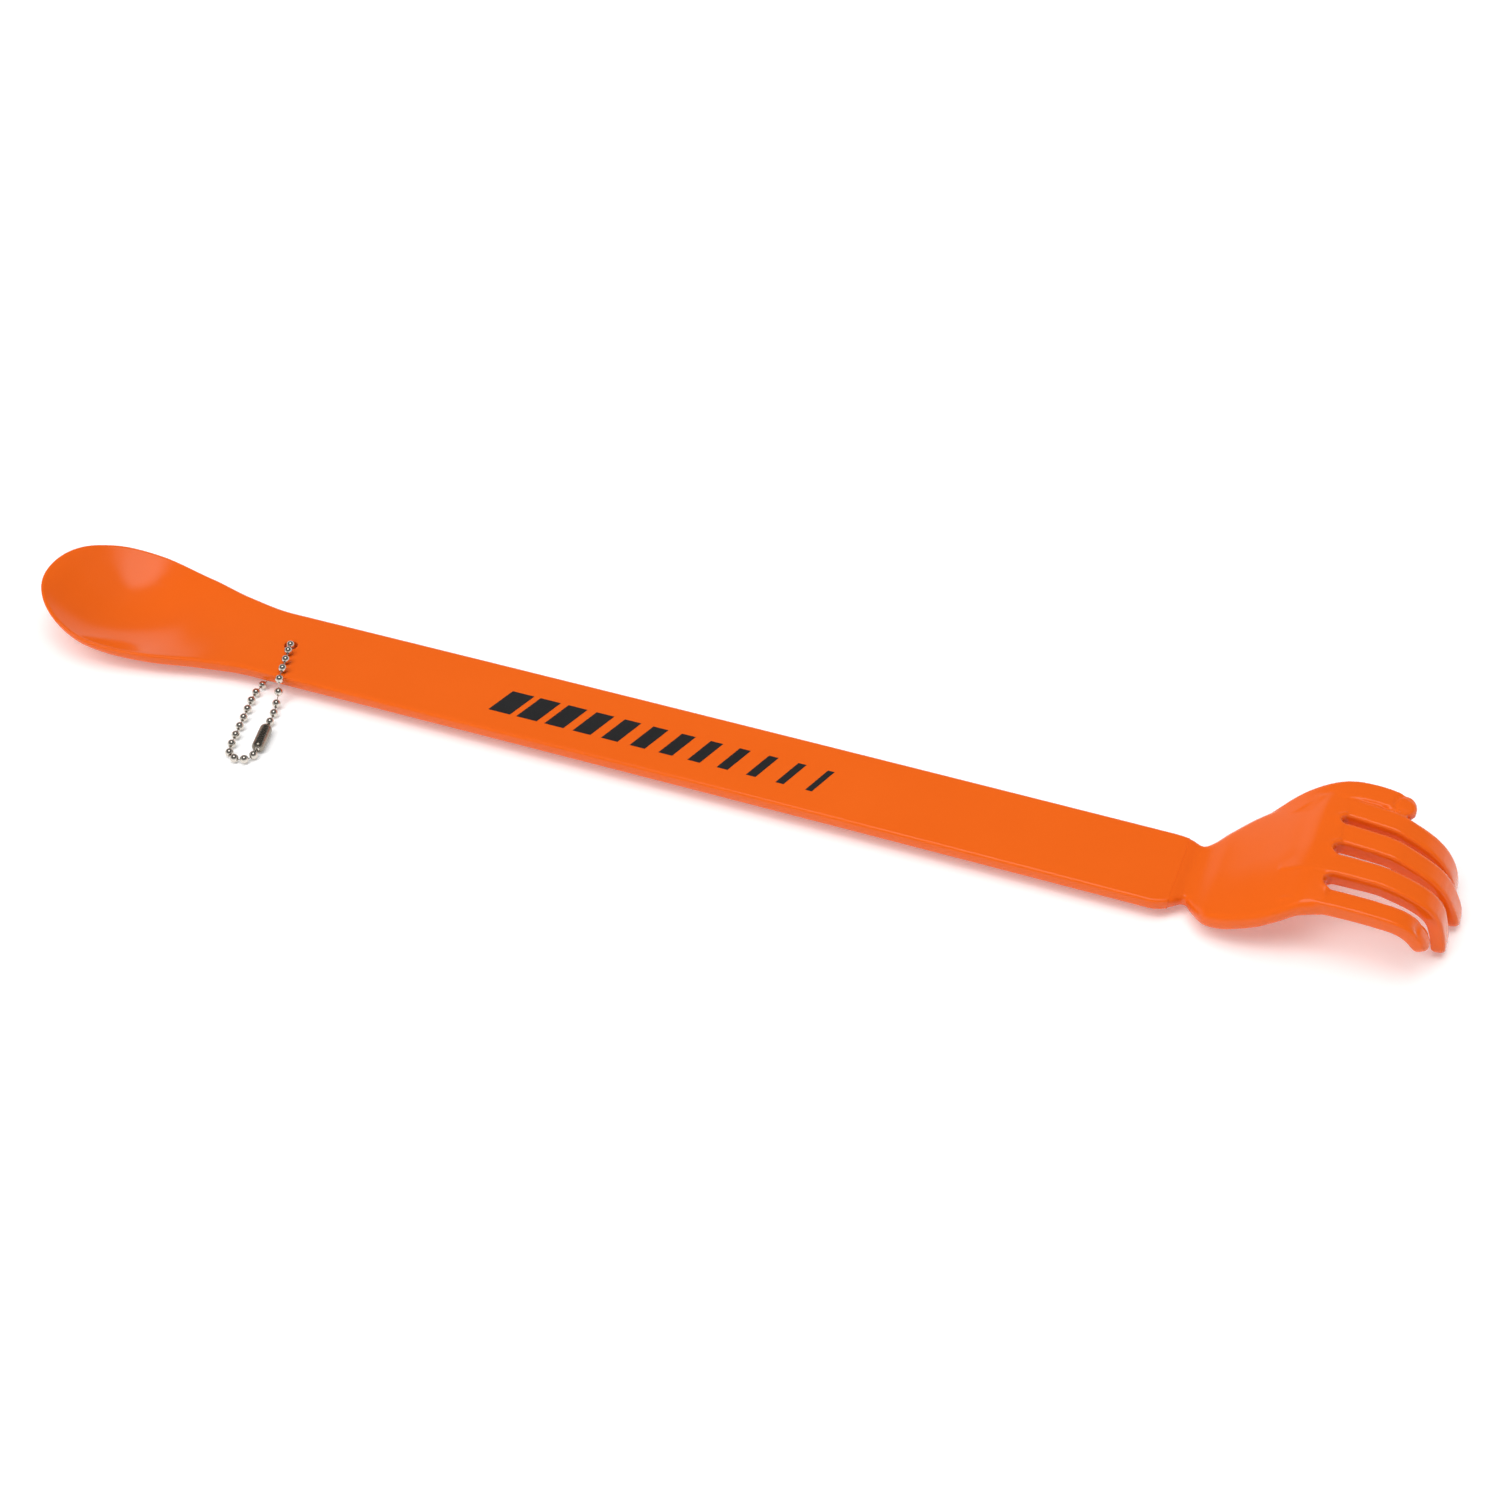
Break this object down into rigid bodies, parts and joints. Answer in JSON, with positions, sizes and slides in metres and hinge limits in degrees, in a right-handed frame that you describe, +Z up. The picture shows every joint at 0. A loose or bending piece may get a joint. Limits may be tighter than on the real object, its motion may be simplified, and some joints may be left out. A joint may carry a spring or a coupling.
{
  "type": "back scratcher with shoehorn end",
  "caption": "Moulded back scratcher: a flat strap with a curled hand-shaped claw at one end, a dished shoehorn at the other, and a loop of ball chain through its hang hole.",
  "frame": {"origin": "bottom centre of the box round the whole object at rest, on the surface it lies on", "axes": "+X along the strap from the shoehorn to the hand, +Z up from the surface, +Y across the strap towards the thumb side"},
  "size_m": [0.3846, 0.0752, 0.0193],
  "materials": {
    "orange_plastic": "gloss",
    "nickel": "bright nickel plate"
  },
  "bodies": {
    "handle": {"scratcher_moulding": "orange_plastic"},
    "chain_crossing": {"bead_01": "nickel", "bead_02": "nickel", "bead_03": "nickel", "bead_04": "nickel", "bead_05": "nickel", "bead_06": "nickel", "bead_07": "nickel", "link_01": "nickel", "link_02": "nickel", "link_03": "nickel", "link_04": "nickel", "link_05": "nickel", "link_06": "nickel", "link_07": "nickel", "bead_20": "nickel", "bead_21": "nickel", "bead_22": "nickel", "bead_23": "nickel", "bead_24": "nickel", "bead_25": "nickel", "bead_26": "nickel", "bead_27": "nickel", "link_20": "nickel", "link_21": "nickel", "link_22": "nickel", "link_23": "nickel", "link_24": "nickel", "link_25": "nickel", "link_26": "nickel", "link_27": "nickel"},
    "right_pitch_1": {"bead_08": "nickel", "link_08": "nickel"},
    "right_pitch_2": {"bead_09": "nickel", "link_09": "nickel"},
    "right_pitch_3": {"bead_10": "nickel"},
    "left_pitch_1": {"link_19": "nickel", "bead_19": "nickel"},
    "left_pitch_2": {"link_18": "nickel", "bead_18": "nickel"},
    "left_run": {"link_17": "nickel", "bead_17": "nickel", "link_16": "nickel", "bead_16": "nickel", "link_15": "nickel"},
    "chain_bow": {"bead_15": "nickel", "link_14": "nickel", "bead_14": "nickel", "link_13": "nickel", "bead_13": "nickel", "link_12": "nickel", "bead_12": "nickel", "link_11": "nickel", "bead_11": "nickel"},
    "clasp": {"chain_clasp": "nickel"}
  },
  "joints": [
    {"name": "chain_swing", "type": "hinge", "parent": "handle", "child": "chain_crossing", "pos_m": [-0.11915, 0.0043, 0.00455], "axis": [0, 0, 1], "range_deg": [-5, 5]},
    {"name": "chain_sway", "type": "hinge", "parent": "chain_crossing", "child": "left_pitch_1", "pos_m": [-0.12053, -0.0193, 0.0012], "axis": [0, 0, 1], "range_deg": [-7, 7]},
    {"name": "left_pivot_2", "type": "hinge", "parent": "left_pitch_1", "child": "left_pitch_2", "pos_m": [-0.11985, -0.02269, 0.0012], "axis": [0, 0, 1], "range_deg": [-7, 7]},
    {"name": "left_pivot_3", "type": "hinge", "parent": "left_pitch_2", "child": "left_run", "pos_m": [-0.11916, -0.02608, 0.0012], "axis": [0, 0, 1], "range_deg": [-7, 7]},
    {"name": "bow_pivot", "type": "hinge", "parent": "left_run", "child": "chain_bow", "pos_m": [-0.11754, -0.03404, 0.00121], "axis": [0, 0, 1], "range_deg": [-21, 21]},
    {"name": "clasp_pivot", "type": "hinge", "parent": "chain_bow", "child": "clasp", "pos_m": [-0.11068, -0.03088, 0.00165], "axis": [0, 0, 1], "range_deg": [-21, 21]},
    {"name": "right_pivot_1", "type": "hinge", "parent": "chain_crossing", "child": "right_pitch_1", "pos_m": [-0.11372, -0.01614, 0.00127], "axis": [0, 0, 1], "range_deg": [-7, 7]},
    {"name": "right_pivot_2", "type": "hinge", "parent": "right_pitch_1", "child": "right_pitch_2", "pos_m": [-0.11298, -0.01952, 0.0011], "axis": [0, 0, 1], "range_deg": [-7, 7]},
    {"name": "right_pivot_3", "type": "hinge", "parent": "right_pitch_2", "child": "right_pitch_3", "pos_m": [-0.1123, -0.02292, 0.00153], "axis": [0, 0, 1], "range_deg": [-7, 7]}
  ],
  "couplings": [
    {"joint": "left_pivot_2", "follows": "chain_sway", "ratio": 1},
    {"joint": "left_pivot_3", "follows": "chain_sway", "ratio": 1},
    {"joint": "bow_pivot", "follows": "chain_sway", "ratio": -3},
    {"joint": "clasp_pivot", "follows": "chain_sway", "ratio": 3},
    {"joint": "right_pivot_1", "follows": "chain_sway", "ratio": 1},
    {"joint": "right_pivot_2", "follows": "chain_sway", "ratio": 1},
    {"joint": "right_pivot_3", "follows": "chain_sway", "ratio": 1}
  ]
}
